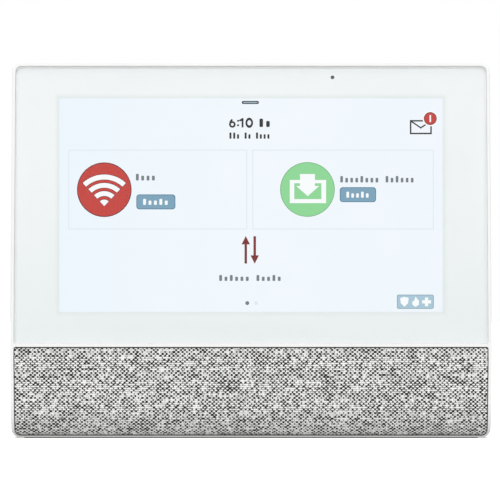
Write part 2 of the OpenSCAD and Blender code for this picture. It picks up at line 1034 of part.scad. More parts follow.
module speaker_box(side) {
    xs = side > 0 ? [30, 84] : [-84, -30];
    zs = [2.4, 35.8];
    skin = 1.0;
    back = 1.8;
    lead_x = side * 34;
    color("black")
    difference() {
        block(xs, [baffle_y + baffle_t, back], zs);
        block(
            [xs[0] + skin, xs[1] - skin],
            [baffle_y, back - skin],
            [zs[0] + skin, zs[1] - skin]
        );
        translate([lead_x, -2, 33])
            cylinder(r = wire_r + 0.15, h = 4, $fn = 24);
    }
}

module speaker_leads() {
    run_z = 43;
    y = -2;
    plug_xs = [left_plug_x, right_plug_x];
    color("firebrick")
        for (i = [0, 1])
            wire([
                [(i == 0 ? -34 : 34), y, 30],
                [(i == 0 ? -34 : 34), y, run_z],
                [plug_xs[i], y, run_z],
                [plug_xs[i], y, connector_z[0]]
            ]);
}

// --------------------------------------------------------------- rear case

module vents() {
    slot = [8, 1.8];
    pitch = [11, 5];
    for (row = [0, 1])
        for (i = [0 : 8])
            let (x = -58 + pitch[0] * i, z = 133 + pitch[1] * row)
            block([x, x + slot[0]], [back_y - 2 * wall, back_y + slack], [z, z + slot[1]]);
}

// Solid bar along the bottom rear edge, cut open where the plate's barrels turn
module hinge_bar_block() {
    hub_gap = 0.6;
    reach = [hinge_y - barrel_r - hub_gap, back_y + slack];
    difference() {
        intersection() {
            body_block(0, seam_y, back_y + slack);
            union() {
                block([-pin_end_x - 2, pin_end_x + 2], [bar_front_y, hinge_y], [0, hinge_z + barrel_r]);
                block([-pin_end_x - 2, pin_end_x + 2], [hinge_y - 0.1, back_y], [0, hinge_z]);
                hinge_bar(barrel_r, -pin_end_x - 2, pin_end_x + 2);
            }
        }
        for (b = plate_barrels) {
            low = b[0] - barrel_gap;
            high = b[1] + barrel_gap;
            hinge_bar(barrel_r + hub_gap, low, high);
            block([low, high], reach, [-slack, hinge_z]);
            block([low, high], [hinge_y - 0.5, back_y + slack], [hinge_z - 0.1, 2 * hinge_z + slack]);
        }
    }
}

module rear_housing() {
    floor_y = bay_y - wall;
    color("white")
    difference() {
        union() {
            // outer shell, with the bay for the plate let into its back
            difference() {
                body_block(0, seam_y, back_y + slack);
                difference() {
                    body_block(wall, seam_y - slack, back_y);
                    block(
                        [-bay_half_w - wall, bay_half_w + wall],
                        [floor_y, back_y + slack],
                        [-slack, bay_top_z + wall]
                    );
                }
                block([-bay_half_w, bay_half_w], [bay_y, back_y + 2 * slack], [-slack, bay_top_z]);
                block([-bay_half_w, bay_half_w], [bar_front_y + 1, back_y], [-slack, hinge_z + barrel_r]);
            }
            hinge_bar_block();
            // posts for the case screws
            for (side = [-1, 1])
                for (z = case_screw_zs)
                    bar_y(side * case_screw_x, z, case_post_r, seam_y, back_y - wall + 0.1);
            // guide of the tamper plunger
            bar_y(0, tamper_z, 3.6, 4.0, floor_y + 0.1);
            // boss of the battery cover's screw
            bar_y(cover_mid_x, cover_screw_z, 3.0, 5.0, floor_y + 0.1);
            // posts that hold the button board
            for (x = [reset_x - 7, reset_x + 7])
                bar_y(x, reset_z, 1.5, 1.0, back_y - wall + 0.1);
        }
        for (side = [-1, 1])
            for (z = case_screw_zs) {
                bar_y(side * case_screw_x, z, 1.7, seam_y - slack, back_y);
                bar_y(side * case_screw_x, z, 3.0, case_head_y, back_y + slack);
            }
        vents();
        // opening over the terminal block
        block(window_x, [floor_y - slack, bay_y + slack], window_z);
        // opening over the battery, with a recess and a thread for its cover
        block(cover_x, [floor_y - slack, bay_y + slack], cover_z);
        cover_tab(0.25, bay_y + slack);
        bar_y(cover_mid_x, cover_screw_z, case_thread_r, 4.0, bay_y);
        bar_y(0, tamper_z, 2.05, 3.0, bay_y + slack);
        bar_y(reset_x, reset_z, 3.0, back_y - 2 * wall, back_y + slack);
        hinge_bar(pin_r + running_gap, -pin_end_x, pin_end_x);
    }
}

module case_screws() {
    color("silver")
        for (side = [-1, 1])
            for (z = case_screw_zs)
                screw(
                    side * case_screw_x, z, case_head_y,
                    head_r = 2.75, head_h = 2.0, shank_r = 1.45, shank_len = 8
                );
}

// ------------------------------------------------------------- stand plate

module screw_slot(x, z, y0, y1) {
    half = slot_len / 2 - slot_r;
    union() {
        block([x - half, x + half], [y0, y1], [z - slot_r, z + slot_r]);
        for (end = [-half, half])
            bar_y(x + end, z, slot_r, y0, y1);
    }
}

module at_slots() {
    for (x = [-slot_pitch_x / 2, slot_pitch_x / 2])
        for (z = [slot_mid_z - slot_pitch_z / 2, slot_mid_z + slot_pitch_z / 2])
            translate([x, 0, z])
                children();
}

module stand_plate() {
    skin = 2.2;
    web_low = hinge_z + barrel_r + 0.8;
    pocket = [plate_y - slack, back_y - skin];
    margin = 3.0;
    inner_x = 33;                 // where the side hollows end, beside the cable opening
    hollow_zs = [[web_low + margin, 41], [44, 72], [75, 103]];
    color("white")
    difference() {
        union() {
            slab(
                [for (p = round_rect(2 * plate_half_w, plate_top_z - web_low, 3))
                    [p[0], p[1] + (plate_top_z + web_low) / 2]],
                plate_y, back_y
            );
            for (b = plate_barrels) {
                hinge_bar(barrel_r, b[0], b[1]);
                block(b, [plate_y, back_y], [hinge_z, web_low + 4]);
            }
        }
        // hollows between the ribs on the inner side
        for (side = [-1, 1]) {
            for (zs = hollow_zs)
                block(
                    side > 0 ? [inner_x, plate_half_w - margin] : [-plate_half_w + margin, -inner_x],
                    pocket, zs
                );
            for (z = [slot_mid_z - slot_pitch_z / 2, slot_mid_z + slot_pitch_z / 2])
                block(
                    side > 0
                        ? [slot_pitch_x / 2 - 9, slot_pitch_x / 2 + 7]
                        : [-slot_pitch_x / 2 - 7, -slot_pitch_x / 2 + 9],
                    pocket, [z - 5, z + 5]
                );
        }
        slab(
            [for (p = round_rect(cable_hole_w, cable_hole_h, 4)) [p[0], p[1] + slot_mid_z]],
            plate_y - slack, back_y + slack
        );
        at_slots()
            screw_slot(0, 0, plate_y - slack, back_y + slack);
        for (p = pad_places)
            bar_y(p[0], p[1], pad_r + 0.05, back_y - pad_t + pad_proud, back_y + slack);
        hinge_bar(pin_r + running_gap, -plate_half_w - slack, plate_half_w + slack);
    }
}

module stand_pads() {
    color("dimgray")
        for (p = pad_places)
            bar_y(p[0], p[1], pad_r, back_y - pad_t + pad_proud, back_y + pad_proud);
}

module hinge_pin() {
    color("silver")
        hinge_bar(pin_r, -pin_end_x + 0.2, pin_end_x - 0.2);
}

module friction_washers() {
    washer_t = 0.5;
    side_gap = (barrel_gap - washer_t) / 2;
    color("gold")
        for (side = [-1, 1])
            for (x = [middle_barrel_x, outer_barrel_x - barrel_gap, plate_half_w])
                translate([side > 0 ? 0 : -2 * (x + side_gap) - washer_t, 0, 0])
                    difference() {
                        hinge_bar(4.4, x + side_gap, x + side_gap + washer_t);
                        hinge_bar(pin_r + 0.1, x, x + 1);
                    }
}

// ----------------------------------------------------------------- buttons

module reset_button() {
    stem_y = 5.0;
    flange = [11.3, 12.5];
    color("lightgray")
        turned(reset_x, reset_z, [
            [0, stem_y], [1.2, stem_y], [1.2, flange[0]], [4.2, flange[0]], [4.2, flange[1]],
            [2.9, flange[1]], [2.9, back_y + 0.1], [2.5, back_y + 0.25], [0, back_y + 0.1]
        ]);
}

module button_board() {
    color("darkgreen")
        block([reset_x - 9.5, reset_x + 9.5], [0.0, 1.0], [reset_z - 4, reset_z + 4]);
    color("black")
        block([reset_x - 3, reset_x + 3], [1.0, 4.0], [reset_z - 3, reset_z + 3]);
}

module tamper_plunger() {
    tip = bay_y + 0.8;
    color("lightgray")
        turned(0, tamper_z, [
            [0, 1.5], [2.0, 1.5], [2.0, 2.0], [3.4, 2.0], [3.4, 3.7], [2.0, 3.7],
            [2.0, tip - 0.5], [1.5, tip], [0, tip]
        ]);
}

module tamper_switch() {
    color("black")
        block([-3, 3], [parts_y, 0.1], [tamper_z - 3, tamper_z + 3]);
}

front_bezel();
foot_strip();
cover_glass();
glass_border_print();
glass_adhesive();
lcd_panel();
light_guide();
backlight_tray();
display_flex();
display_bracket();
board_standoffs();
main_board();
board_screws();
shield_cans();
heat_spreader();
board_chips();
board_connectors();
terminal_block();
terminal_screws();
radio_module();
antenna(-1);  // left_antenna
antenna(1);  // right_antenna
antenna_leads();
battery_pack();
battery_holder();
battery_lead();
battery_cover();
battery_cover_screw();
camera_module();
camera_lens();
camera_flex();
microphone_board();
microphones();
microphone_boots();
speaker_grille();
grille_fabric();
speaker_baffle();
speaker_frame(-1);  // left_speaker_frame
speaker_frame(1);  // right_speaker_frame
speaker_cone(-1);  // left_speaker_cone
speaker_cone(1);  // right_speaker_cone
speaker_magnet(-1);  // left_speaker_magnet
speaker_magnet(1);  // right_speaker_magnet
speaker_surrounds();
speaker_gaskets();
speaker_box(-1);  // left_speaker_box
speaker_box(1);  // right_speaker_box
speaker_leads();
rear_housing();
case_screws();
stand_plate();
hinge_pin();
friction_washers();
stand_pads();
reset_button();
button_board();
tamper_plunger();
tamper_switch();
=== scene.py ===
"""Looks of a 7-inch smart display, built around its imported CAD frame.

Metres, in the CAD's frame: X runs across the screen, the glass faces -Y, Z is up, the floor is Z = 0."""

import json
import math

import bmesh
import bpy
import numpy as np
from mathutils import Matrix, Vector


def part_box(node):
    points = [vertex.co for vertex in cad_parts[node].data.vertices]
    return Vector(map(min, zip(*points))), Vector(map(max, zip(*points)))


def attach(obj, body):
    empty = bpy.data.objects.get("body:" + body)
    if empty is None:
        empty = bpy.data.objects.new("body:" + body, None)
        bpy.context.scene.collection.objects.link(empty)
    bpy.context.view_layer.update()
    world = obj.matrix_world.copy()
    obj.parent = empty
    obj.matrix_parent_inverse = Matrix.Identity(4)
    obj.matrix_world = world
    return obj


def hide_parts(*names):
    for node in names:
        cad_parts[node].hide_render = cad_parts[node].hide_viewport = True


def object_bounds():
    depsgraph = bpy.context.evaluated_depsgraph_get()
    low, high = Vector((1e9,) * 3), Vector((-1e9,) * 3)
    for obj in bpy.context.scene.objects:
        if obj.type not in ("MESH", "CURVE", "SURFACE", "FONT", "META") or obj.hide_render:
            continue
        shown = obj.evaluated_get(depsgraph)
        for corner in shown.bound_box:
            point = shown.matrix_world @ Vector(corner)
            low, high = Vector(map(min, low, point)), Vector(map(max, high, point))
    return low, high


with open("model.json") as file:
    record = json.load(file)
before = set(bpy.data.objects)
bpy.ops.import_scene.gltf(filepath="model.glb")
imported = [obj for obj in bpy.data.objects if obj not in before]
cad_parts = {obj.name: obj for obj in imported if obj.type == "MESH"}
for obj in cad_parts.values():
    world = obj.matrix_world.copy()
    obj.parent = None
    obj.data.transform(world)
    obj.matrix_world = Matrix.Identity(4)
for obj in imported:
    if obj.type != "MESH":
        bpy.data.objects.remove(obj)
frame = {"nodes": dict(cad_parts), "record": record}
CAD_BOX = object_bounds()
MM = 0.001

# ------------------------------------------------------------------ sizes

BEZEL_LOW, BEZEL_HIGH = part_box("front_bezel")
GLASS_LOW, GLASS_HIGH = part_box("cover_glass")
PANEL_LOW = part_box("lcd_panel")[0]
CLOTH_LOW, CLOTH_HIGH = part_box("grille_fabric")
STRIP_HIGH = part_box("foot_strip")[1]

# The lit picture, inside the border print
PICTURE_W = 154.21 * MM
PICTURE_H = 85.92 * MM
PICTURE_Z = 93.85 * MM

# The front curves back below CHIN_Z, by CHIN_DEPTH at the floor
CHIN_Z = 15.0 * MM
CHIN_DEPTH = 9.0 * MM
CHIN_Y = BEZEL_LOW.y + CHIN_DEPTH
BELLY_Z = 32.0 * MM             # height of the widest line
FOOT_NARROWER = 0.29 * MM       # how much narrower each side of the cloth is at the bottom

# The weave
TUCK = 0.50 * MM                # height of the painted shadow on the cloth's edge under the bar
THREAD_X = 0.90 * MM            # from one upright thread to the next
THREAD_Z = 0.77 * MM            # from one cross thread to the next
WEAVE_RELIEF = 0.24 * MM
CLOTH_THICK = 0.50 * MM
HEM_THICK = 0.28 * MM
FOLD_R = 0.50 * MM              # the cloth's edge turns back round the grille with this radius
HEM = 3.0 * MM                  # length turned back past the fold

# ---------------------------------------------------------- material tools


def linear(red, green, blue):
    """An sRGB colour in 0 to 255 as linear light."""
    parts = [c / 255 for c in (red, green, blue)]
    return [c / 12.92 if c <= 0.04045 else ((c + 0.055) / 1.055) ** 2.4 for c in parts]


def scaled(colour, share):
    """A colour made darker or lighter, with its alpha."""
    return (*[min(c * share, 1.0) for c in colour[:3]], 1.0)


class Nodes:
    """Adds nodes to a tree. An input given as a socket is joined; any other value is set on the input."""

    def __init__(self, tree):
        self.tree = tree

    def feed(self, socket, value):
        if isinstance(value, bpy.types.NodeSocket):
            self.tree.links.new(value, socket)
        else:
            socket.default_value = value

    def add(self, kind, inputs=(), **settings):
        node = self.tree.nodes.new("ShaderNode" + kind)
        for name, value in settings.items():
            setattr(node, name, value)
        for name, value in dict(inputs).items():
            self.feed(node.inputs[name], value)
        return node

    def place(self):
        """The point in the CAD frame, which stays with the piece as it moves."""
        return self.add("TexCoord").outputs["Object"]

    def parts_of(self, vector):
        return self.add("SeparateXYZ", {"Vector": vector}).outputs

    def join(self, x, y, z):
        return self.add("CombineXYZ", {"X": x, "Y": y, "Z": z}).outputs[0]

    def stretch(self, vector, x, y, z):
        return self.add("Mapping", {"Vector": vector, "Scale": (x, y, z)}).outputs[0]

    def noise(self, size, vector=None, detail=2.0, rough=0.5):
        """Soft noise from 0 to 1, with lumps about size metres across."""
        inputs = {
            "Vector": vector or self.place(),
            "Scale": 1 / size,
            "Detail": detail,
            "Roughness": rough,
        }
        return self.add("TexNoise", inputs).outputs[0]

    def math(self, operation, a, b=0.0):
        return self.add("Math", {0: a, 1: b}, operation=operation).outputs[0]

    def span(self, value, low, high, to_low, to_high, smooth=False):
        """The value's place between low and high, as a number between to_low and to_high."""
        inputs = {"Value": value, "From Min": low, "From Max": high, "To Min": to_low, "To Max": to_high}
        kind = "SMOOTHSTEP" if smooth else "LINEAR"
        return self.add("MapRange", inputs, interpolation_type=kind).outputs[0]

    def ramp(self, value, *stops):
        """A colour from stops of (place, colour)."""
        node = self.add("ValToRGB", {"Fac": value})
        elements = node.color_ramp.elements
        while len(elements) < len(stops):
            elements.new(0.5)
        for element, (at, colour) in zip(elements, stops):
            element.position = at
            element.color = (*colour[:3], 1.0)
        return node.outputs["Color"]

    def blend(self, share, a, b, how="MIX"):
        node = self.add("Mix", data_type="RGBA", blend_type=how)
        for index, value in ((0, share), (6, a), (7, b)):
            if not isinstance(value, bpy.types.NodeSocket) and index:
                value = (*value[:3], 1.0)
            self.feed(node.inputs[index], value)
        return node.outputs[2]


class Shader(Nodes):
    """A Principled material."""

    def __init__(self, name, **constants):
        self.material = bpy.data.materials.new(name)
        self.material.use_nodes = True
        super().__init__(self.material.node_tree)
        self.surface = self.tree.nodes["Principled BSDF"]
        for socket, value in constants.items():
            self.set(socket.replace("_", " "), value)

    def set(self, socket, value):
        self.feed(self.surface.inputs[socket], value)

    def bump(self, height, depth):
        bump = self.add("Bump", {"Height": height, "Distance": depth, "Strength": 1.0})
        self.set("Normal", bump.outputs[0])


# -------------------------------------------------------------- materials


def moulded(name, colour, rough=0.42, grain=0.30 * MM, relief=0.010 * MM):
    """Moulded plastic: a fine spark-eroded texture, faint clouding, and painted shade in the corners and
    seams, standing also for dust there.
    """
    s = Shader(name, IOR=1.50)
    cloud = s.noise(16 * MM, detail=3)
    tint = s.ramp(cloud, (0.30, scaled(colour, 0.975)), (0.70, colour))
    # painted shade: the base colour darkens where the AO node finds a corner or seam, standing also for dust
    corner = s.add("AmbientOcclusion", {"Distance": 1.6 * MM}, samples=6, only_local=True)
    dust_and_corner_shade = s.span(corner.outputs["AO"], 0.25, 0.85, 0.16, 0.0)
    s.set("Base Color", s.blend(dust_and_corner_shade, tint, scaled(colour, 0.55)))
    texture = s.noise(grain, detail=2)
    wear = s.noise(9 * MM, detail=4, rough=0.6)
    grained = s.span(texture, 0.3, 0.7, rough - 0.04, rough + 0.05)
    polish = s.span(wear, 0.55, 0.75, 0.0, -0.05)
    s.set("Roughness", s.math("ADD", grained, polish))
    s.bump(texture, relief)
    return s.material


def rubber(name, colour, rough=0.75):
    """Rubber or foam: matt, with a fine open grain and grey bloom."""
    s = Shader(name, IOR=1.45)
    bloom = s.noise(4 * MM, detail=4)
    s.set("Base Color", s.ramp(bloom, (0.35, colour), (0.75, scaled(colour, 1.9))))
    grain = s.noise(0.25 * MM, detail=3)
    s.set("Roughness", s.span(grain, 0.3, 0.7, rough - 0.08, rough + 0.1))
    s.bump(grain, 0.03 * MM)
    return s.material


def sheet_metal(name, colour, rough=0.3, along=(1, 1, 30), metallic=1.0):
    """Rolled or turned metal: fine lines one way, with a few scuffs."""
    s = Shader(name, Metallic=metallic)
    lines = s.noise(2.5 * MM, s.stretch(s.place(), *along), detail=5, rough=0.65)
    scuffs = s.noise(5 * MM, detail=5, rough=0.7)
    s.set("Base Color", s.ramp(lines, (0.3, scaled(colour, 0.86)), (0.7, colour)))
    lined = s.span(lines, 0.3, 0.7, rough - 0.06, rough + 0.08)
    scuffed = s.span(scuffs, 0.55, 0.7, 0.0, 0.12)
    s.set("Roughness", s.math("ADD", lined, scuffed))
    s.bump(lines, 0.008 * MM)
    return s.material


def clear_glass():
    """Cover glass: clear, with the faintest smears."""
    s = Shader("cover_glass", IOR=1.50, Transmission_Weight=1.0)
    smear = s.noise(22 * MM, detail=4, rough=0.6)
    s.set("Base Color", s.ramp(smear, (0.3, (0.985, 0.995, 0.992)), (0.7, (1.0, 1.0, 1.0))))
    s.set("Roughness", s.span(smear, 0.45, 0.75, 0.0, 0.03))
    return s.material


def border_ink():
    """Off-white ink behind the glass, with painted shade: lighter at the top and darker lower down, and a
    painted shadow towards the picture.
    """
    s = Shader("border_ink", Roughness=0.30, IOR=1.52)
    point = s.parts_of(s.place())
    across = s.math("SUBTRACT", s.math("ABSOLUTE", point["X"]), PICTURE_W / 2)
    above = s.math("SUBTRACT", point["Z"], PICTURE_Z)
    up = s.math("SUBTRACT", s.math("ABSOLUTE", above), PICTURE_H / 2)
    away = s.math("MAXIMUM", across, up)
    light = linear(244, 248, 249)
    shade = linear(232, 238, 239)
    # painted shade: the ink is lighter at the top and darker lower down
    base = s.ramp(s.span(point["Z"], GLASS_LOW.z, GLASS_HIGH.z, 0, 1),
                  (0.0, linear(238, 244, 244)), (0.55, light), (1.0, light))
    # painted shadow: the ink darkens within 2.2 mm of the picture's edge
    tint = s.blend(s.span(away, 0.0, 2.2 * MM, 1.0, 0.0, smooth=True), base, shade)
    speckle = s.noise(0.6 * MM, detail=2)
    s.set("Base Color", s.blend(s.span(speckle, 0.3, 0.7, 0.0, 0.02), tint, shade))
    s.bump(speckle, 0.002 * MM)
    return s.material


LIT = 1.06                      # what the glass takes from the picture's light
GLARE = 0.045                   # light that the glass adds to it


def glow(colour):
    """The light that a spot of the picture gives, so that it shows as the sRGB colour through the glass."""
    return [max(c - GLARE, 0.0) * LIT for c in linear(*colour)]


def screen_light(name, colour):
    """A spot of the lit picture, with a trace of the panel's pixel grid."""
    s = Shader(name, Roughness=0.35, Emission_Strength=1.0)
    s.set("Base Color", (0.0, 0.0, 0.0, 1.0))
    s.set("Specular IOR Level", 0.0)
    grid = s.noise(0.8 * MM, detail=1)
    light = glow(colour)
    s.set("Emission Color", s.ramp(grid, (0.3, scaled(light, 0.985)), (0.7, light)))
    return s.material


def picture_panel():
    """The display cell: black at its edges, and lit where the picture is, a little bluer to the left."""
    s = Shader("picture_panel", Roughness=0.3, Emission_Strength=1.0)
    s.set("Specular IOR Level", 0.0)
    point = s.parts_of(s.place())
    frost = s.noise(1.2 * MM, detail=1)
    s.set("Base Color", s.ramp(frost, (0.3, (0.004, 0.004, 0.005)), (0.7, (0.008, 0.008, 0.009))))
    left_right = s.span(point["X"], -PICTURE_W / 2, PICTURE_W / 2, 0, 1)
    page = s.ramp(left_right, (0.0, glow((238, 247, 254))), (0.45, glow((243, 249, 254))),
                  (1.0, glow((242, 248, 254))))
    across = s.math("LESS_THAN", s.math("ABSOLUTE", point["X"]), PICTURE_W / 2)
    above = s.math("SUBTRACT", point["Z"], PICTURE_Z)
    up = s.math("LESS_THAN", s.math("ABSOLUTE", above), PICTURE_H / 2)
    front = s.math("LESS_THAN", point["Y"], PANEL_LOW.y + 0.05 * MM)
    lit = s.math("MULTIPLY", s.math("MULTIPLY", across, up), front)
    s.set("Emission Color", s.blend(lit, (0.0, 0.0, 0.0), page))
    return s.material


def acrylic():
    """The light guide: milky acrylic with rows of printed dots."""
    s = Shader("light_guide", IOR=1.49, Roughness=0.18)
    dots = s.add("TexVoronoi", {"Vector": s.place(), "Scale": 1 / (1.4 * MM), "Randomness": 0.15})
    distance = dots.outputs["Distance"]
    s.set("Base Color", s.ramp(distance, (0.18, (0.95, 0.96, 0.97)), (0.3, (0.85, 0.88, 0.9))))
    s.bump(distance, 0.02 * MM)
    return s.material


def film(name, base, trace, pitch):
    """A thin film with straight traces etched along it."""
    s = Shader(name, Roughness=0.3)
    point = s.parts_of(s.place())
    stripe = s.math("FRACT", s.math("DIVIDE", point["X"], pitch))
    line = s.span(s.math("ABSOLUTE", s.math("SUBTRACT", stripe, 0.5)), 0.22, 0.30, 1.0, 0.0)
    stain = s.noise(3 * MM, detail=3)
    under = s.ramp(stain, (0.3, scaled(base, 0.85)), (0.7, base))
    s.set("Base Color", s.blend(line, under, trace))
    s.set("Roughness", s.span(stain, 0.3, 0.7, 0.25, 0.38))
    s.bump(line, 0.02 * MM)
    return s.material


def circuit_board():
    """Green solder mask over copper traces, with small tinned pads."""
    s = Shader("circuit_board", IOR=1.5, Coat_Weight=0.3, Coat_Roughness=0.15)
    place = s.place()
    cells = {"Vector": place, "Scale": 1 / (2.6 * MM), "Randomness": 0.8}
    traces = s.add("TexVoronoi", cells, distance="CHEBYCHEV", feature="DISTANCE_TO_EDGE")
    line = s.span(traces.outputs["Distance"], 0.05, 0.09, 1.0, 0.0)
    pads = s.add("TexVoronoi", {"Vector": place, "Scale": 1 / (3.3 * MM), "Randomness": 0.6})
    pad = s.span(pads.outputs["Distance"], 0.10, 0.13, 1.0, 0.0)
    mask = s.blend(line, (0.012, 0.13, 0.065), (0.03, 0.24, 0.12))
    s.set("Base Color", s.blend(pad, mask, (0.72, 0.70, 0.62)))
    s.set("Metallic", pad)
    s.set("Roughness", s.span(s.noise(1.2 * MM, detail=3), 0.3, 0.7, 0.28, 0.42))
    s.bump(line, 0.03 * MM)
    return s.material


def shrink_wrap():
    """Blue heat-shrink over two cells, drawn into fine wrinkles near its ends."""
    s = Shader("battery_wrap", IOR=1.5, Coat_Weight=0.5, Coat_Roughness=0.12)
    place = s.place()
    pull = s.noise(5 * MM, s.stretch(place, 1.0, 1.0, 0.35), detail=4, rough=0.6)
    low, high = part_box("battery_pack")
    middle = (low.z + high.z) / 2
    away = s.math("ABSOLUTE", s.math("SUBTRACT", s.parts_of(place)["Z"], middle))
    near_end = s.span(away, 0.6 * (high.z - middle), high.z - middle, 0.25, 1.0)
    s.set("Base Color", s.ramp(pull, (0.3, (0.02, 0.07, 0.26)), (0.7, (0.04, 0.13, 0.42))))
    s.set("Roughness", s.span(pull, 0.3, 0.7, 0.22, 0.4))
    s.bump(s.math("MULTIPLY", pull, near_end), 0.25 * MM)
    return s.material


def lens_glass():
    """A coated lens over a dark barrel."""
    s = Shader("lens", IOR=1.6, Roughness=0.04, Coat_Weight=1.0, Coat_Roughness=0.02)
    ring = s.noise(1.5 * MM, detail=1)
    s.set("Base Color", s.ramp(ring, (0.35, (0.004, 0.004, 0.009)), (0.7, (0.012, 0.008, 0.025))))
    return s.material


def pressed_paper():
    """Pulp speaker cone with felted fibres."""
    s = Shader("cone_paper", Sheen_Weight=0.15)
    fibres = s.noise(0.9 * MM, s.stretch(s.place(), 1.0, 1.0, 3.0), detail=6, rough=0.7)
    s.set("Base Color", s.ramp(fibres, (0.3, (0.19, 0.19, 0.20)), (0.7, (0.36, 0.36, 0.37))))
    s.set("Roughness", s.span(fibres, 0.3, 0.7, 0.78, 0.95))
    s.bump(fibres, 0.08 * MM)
    return s.material


def grille_weave():
    """Plain weave in heathered greys: light cross threads, and a dark dot where each upright thread shows,
    with painted shadow between the threads, in the folds and where the cloth tucks under the bar.
    """
    s = Shader("grille_weave", Sheen_Weight=0.15, Sheen_Roughness=0.5, IOR=1.45)
    thread = s.parts_of(s.add("UVMap", uv_map="threads").outputs[0])
    u, v = thread["X"], thread["Y"]
    wave_x = s.math("SINE", s.math("MULTIPLY", u, math.pi))
    wave_z = s.math("SINE", s.math("MULTIPLY", v, math.pi))
    crest = s.math("MULTIPLY", wave_x, wave_z)

    # a cross thread's shade changes slowly along it, with short light and dark slubs
    row = s.math("MULTIPLY", s.math("FLOOR", v), 7.31)
    streak_at = s.join(s.math("MULTIPLY", u, 0.14), row, 9.0)
    streak = s.span(s.noise(1.0, streak_at, detail=2, rough=0.6), 0.30, 0.70, -0.25, 0.80)
    slub_at = s.join(s.math("MULTIPLY", u, 0.85), row, 2.0)
    slub = s.span(s.noise(1.0, slub_at, detail=1), 0.30, 0.70, -0.90, 1.10)
    # the painted shadow between one cross thread and the next
    gap_shadow = s.math("POWER", s.math("SUBTRACT", 1.0, s.math("ABSOLUTE", wave_z)), 1.5)
    shade = s.math("SUBTRACT", s.math("ADD", streak, slub), s.math("MULTIPLY", gap_shadow, 1.5))
    level = s.span(s.math("ADD", s.math("MULTIPLY", crest, 1.15), shade), -1.2, 1.2, 0, 1)
    greys = ((0.00, 0.004), (0.22, 0.010), (0.36, 0.20), (0.47, 0.70), (0.58, 0.94), (1.00, 1.00))
    yarn = s.ramp(level, *[(at, (grey, grey, 0.985 * grey)) for at, grey in greys])

    patch = s.noise(7 * MM, detail=3, rough=0.6)
    heather = s.ramp(patch, (0.3, (0.88, 0.88, 0.88)), (0.7, (1.0, 1.0, 1.0)))
    cloudy = s.blend(1.0, yarn, heather, "MULTIPLY")
    # painted shadow: darker in the folds where the AO node finds them enclosed, and by height where the cloth
    # tucks in under the bar
    fold = s.add("AmbientOcclusion", {"Distance": 1.5 * MM}, samples=4)
    fold_shade = s.span(fold.outputs["AO"], 0.10, 0.50, 0.9, 0.0)
    tuck_shade = s.span(s.parts_of(s.place())["Z"], CLOTH_HIGH.z - TUCK, CLOTH_HIGH.z - TUCK / 2, 0.0, 0.95)
    s.set("Base Color", s.blend(s.math("MAXIMUM", fold_shade, tuck_shade), cloudy, (0.01, 0.01, 0.01)))
    fuzz = s.noise(0.16 * MM, detail=3, rough=0.7)
    s.set("Roughness", s.span(fuzz, 0.3, 0.7, 0.78, 0.95))
    s.bump(s.math("ADD", s.math("MULTIPLY", fuzz, 0.3), s.math("MULTIPLY", crest, 0.5)), 0.12 * MM)
    return s.material


WHITE = (0.93, 0.93, 0.925, 1.0)
BLACK = (0.022, 0.022, 0.024, 1.0)
FINISHES = {
    "white_shell": moulded("white_shell", WHITE),
    "cover_glass": clear_glass(),
    "border_print": border_ink(),
    "black_tape": rubber("black_tape", BLACK, 0.85),
    "screen": picture_panel(),
    "light_guide": acrylic(),
    "sheet_steel": sheet_metal("sheet_steel", (0.60, 0.61, 0.63)),
    "ribbon": film("ribbon", (0.55, 0.24, 0.04), (0.62, 0.34, 0.10), 0.5 * MM),
    "brass": sheet_metal("brass", (0.78, 0.58, 0.27), 0.25, (1, 30, 1)),
    "circuit_board": circuit_board(),
    "screw_steel": sheet_metal("screw_steel", (0.66, 0.66, 0.67), 0.28, (6, 1, 6)),
    "heat_sink": sheet_metal("heat_sink", (0.50, 0.51, 0.53), 0.4, (1, 1, 12)),
    "black_parts": moulded("black_parts", BLACK, 0.5),
    "ivory_parts": moulded("ivory_parts", (0.78, 0.74, 0.62, 1.0), 0.4),
    "terminal_green": moulded("terminal_green", (0.02, 0.27, 0.08, 1.0), 0.38),
    "copper_film": film("copper_film", (0.50, 0.25, 0.10), (0.72, 0.43, 0.22), 6 * MM),
    "lead_sleeve": moulded("lead_sleeve", (0.22, 0.02, 0.02, 1.0), 0.45),
    "battery_wrap": shrink_wrap(),
    "lens": lens_glass(),
    "soft_black": rubber("soft_black", BLACK),
    "grille_cloth": grille_weave(),
    "speaker_frame": sheet_metal("speaker_frame", (0.03, 0.03, 0.033), 0.45, (1, 1, 1), 0.0),
    "cone_paper": pressed_paper(),
    "magnet": sheet_metal("magnet", (0.55, 0.55, 0.54), 0.22, (1, 8, 1)),
    "button_white": moulded("button_white", (0.84, 0.84, 0.83, 1.0), 0.36),
}

# ------------------------------------------------------------- mesh tools

# How far the edges of a CAD node with this finish are rounded; the other nodes are shown as they are
EDGE_R = {
    "white_shell": 0.30 * MM,
    "cover_glass": 0.12 * MM,
    "sheet_steel": 0.07 * MM,
    "brass": 0.08 * MM,
    "circuit_board": 0.06 * MM,
    "screw_steel": 0.08 * MM,
    "heat_sink": 0.08 * MM,
    "black_parts": 0.12 * MM,
    "ivory_parts": 0.12 * MM,
    "terminal_green": 0.15 * MM,
    "battery_wrap": 0.50 * MM,
    "soft_black": 0.15 * MM,
    "speaker_frame": 0.10 * MM,
    "magnet": 0.25 * MM,
    "button_white": 0.15 * MM,
}
SHARP = math.radians(35)
WELD = 3e-6


def new_piece(name, mesh, body, slot, *materials):
    piece = bpy.data.objects.new(name, mesh)
    bpy.context.scene.collection.objects.link(piece)
    for material in materials:
        mesh.materials.append(material)
    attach(piece, body)
    return piece


def any_edge(edge):
    return True


